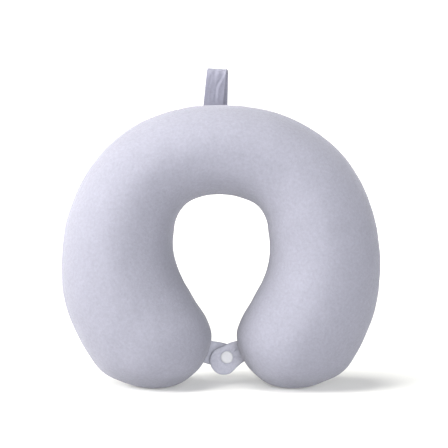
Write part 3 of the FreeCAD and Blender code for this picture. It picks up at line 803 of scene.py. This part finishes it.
def zip_point(angle, u, v):
    """Place in the zip's own frame: u toward the back, v outward, at this angle round the side arc."""
    a, t = math.radians(angle), math.radians(ZIP_TILT)
    radial, back = Vector((math.sin(a), 0, math.cos(a))), Vector((0, 1, 0))
    origin = Vector((SIDE_X, SEAM_Y, SIDE_Z)) + radial * (SIDE_RADIUS - ZIP_DEPTH)
    return origin + (back * math.cos(t) - radial * math.sin(t)) * u + (radial * math.cos(t)
                                                                       + back * math.sin(t)) * v


def make_coil(name, way, node):
    """One side's filament wound in flat loops, each loop's head reaching past the middle of the zip."""
    per_turn = 10
    length = math.radians(COIL_END - COIL_START) * (SIDE_RADIUS - ZIP_DEPTH)
    turns = int(length / COIL_PITCH)
    middle, half = (COIL_INNER + COIL_OUTER) / 2, (COIL_OUTER - COIL_INNER) / 2 - FILAMENT
    centre, tall = (COIL_LOW + COIL_HIGH) / 2, (COIL_HIGH - COIL_LOW) / 2 - FILAMENT
    curve = bpy.data.curves.new(name, "CURVE")
    curve.dimensions = "3D"
    spline = curve.splines.new("POLY")
    spline.points.add(turns * per_turn)
    for i in range(turns * per_turn + 1):
        share = i / (turns * per_turn)
        a = 2 * math.pi * i / per_turn
        angle = COIL_START + (COIL_END - COIL_START) * share
        u = way * (middle + half * math.cos(a))
        v = centre + tall * math.sin(a)
        spline.points[i].co = (*(zip_point(angle, u, v) * MM), 1.0)
    curve.bevel_depth = FILAMENT * MM
    curve.bevel_resolution = 2
    curve.use_fill_caps = True
    obj = bpy.data.objects.new(name, curve)
    bpy.context.scene.collection.objects.link(obj)
    graph = bpy.context.evaluated_depsgraph_get()
    mesh = bpy.data.meshes.new_from_object(obj.evaluated_get(graph))
    bpy.data.objects.remove(obj)
    solid = bpy.data.objects.new(name, mesh)
    bpy.context.scene.collection.objects.link(solid)
    weld(solid, 0.002)
    paint(solid, COIL)
    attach(solid, "pillow")
    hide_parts(node)


make_coil("coil_rear_spiral", 1, "zip_coil_back")
make_coil("coil_front_spiral", -1, "zip_coil_front")

# ---- pieces that keep their own shape, with their finishes ----------------------------------------
for node, mat in (
    ("zip_tape_front", TAPE), ("zip_tape_back", TAPE),
    ("zip_slider", METAL), ("zip_pull", METAL), ("zip_top_stop", METAL), ("zip_bottom_stop", METAL),
    ("snap_socket", PLASTIC), ("snap_stud", PLASTIC), ("seam_thread", THREAD),
    ("liner_front", LINER), ("liner_rear", LINER), ("foam_core", FOAM),
):
    paint(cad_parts[node], mat)


# ---- studio -------------------------------------------------------------------------------------

def studio():
    """White floor that curves up into a low wall all round, under five soft lights; it glows as painted
    light, faintly beside the pillow and brighter far out.
    """
    floor_mat, shader = principled("studio_white", (0.60, 0.60, 0.595), 0.95)
    tree = floor_mat.node_tree
    away = tree.nodes.new("ShaderNodeVectorMath")
    away.operation = "LENGTH"
    tree.links.new(tree.nodes.new("ShaderNodeNewGeometry").outputs["Position"], away.inputs[0])
    # painted light: the floor glows, faintly near the pillow and more towards the wall, lightening the
    # shadows cast on it
    glow = ranged(tree, away.outputs["Value"], 0.3, 1.3, 0.22, 0.75)
    glow.interpolation_type = "SMOOTHSTEP"
    tree.links.new(glow.outputs["Result"], shader.inputs["Emission Strength"])
    shader.inputs["Emission Color"].default_value = (1.0, 1.0, 1.0, 1)
    profile = [(0.35 * i, 0.0) for i in range(1, 8)]
    for i in range(1, 13):
        a = math.radians(i * 90 / 12)
        profile.append((2.45 + 0.6 * math.sin(a), 0.6 - 0.6 * math.cos(a)))
    profile.append((3.05, 1.5))
    steps, rows = 96, len(profile)
    points, faces = [(0.0, 0.0, 0.0)], []
    for j in range(steps):
        a = 2 * math.pi * j / steps
        points += [(r * math.cos(a), r * math.sin(a), z) for r, z in profile]
    for j in range(steps):
        here, there = 1 + j * rows, 1 + (j + 1) % steps * rows
        faces.append((0, here, there))
        for i in range(rows - 1):
            faces.append((here + i, here + i + 1, there + i + 1, there + i))
    floor = new_object("studio_floor", points, faces)
    for polygon in floor.data.polygons:
        if polygon.normal.z < -0.5:
            floor.data.flip_normals()
            break
    paint(floor, floor_mat)
    world = bpy.data.worlds.new("studio")
    bpy.context.scene.world = world
    world.use_nodes = True
    world.node_tree.nodes["Background"].inputs["Color"].default_value = (0.98, 0.985, 1.0, 1)
    world.node_tree.nodes["Background"].inputs["Strength"].default_value = 0.02
    area_light("key", (-1.15, -1.05, 1.3), 0.8, 17.0, (1.0, 0.99, 0.96))
    area_light("side", (-1.7, -0.45, 0.75), 0.8, 51.0, (1.0, 0.99, 0.97))
    area_light("top", (-0.35, -0.2, 1.9), 1.2, 50.0, (1.0, 0.995, 0.94))
    area_light("front_fill", (0.35, -2.2, 0.55), 1.0, 46.0, (0.96, 0.98, 1.0))
    area_light("right", (1.6, 0.1, 0.9), 0.8, 2.0, (0.98, 0.98, 1.0))


def area_light(name, place, size, power, colour):
    """Round soft light aimed at the middle of the pillow."""
    data = bpy.data.lights.new(name, "AREA")
    data.shape, data.size, data.energy, data.color = "DISK", size, power, colour
    obj = bpy.data.objects.new(name, data)
    bpy.context.scene.collection.objects.link(obj)
    obj.location = place
    obj.rotation_euler = (Vector((0, 0, 0.14)) - Vector(place)).to_track_quat("-Z", "Y").to_euler()


def camera():
    data = bpy.data.cameras.new("camera")
    data.lens, data.sensor_width = 123.0, 36.0
    cam = bpy.data.objects.new("camera", data)
    bpy.context.scene.collection.objects.link(cam)
    wide = 0.4233
    distance = wide * data.lens / data.sensor_width
    target = Vector((0.0028, 0.0, 0.1545))
    rise = math.radians(4.0)
    cam.location = target + Vector((0, -math.cos(rise), math.sin(rise))) * distance
    cam.rotation_euler = (target - cam.location).to_track_quat("-Z", "Y").to_euler()
    bpy.context.scene.camera = cam


studio()
camera()
bpy.context.scene.view_settings.view_transform = "Standard"
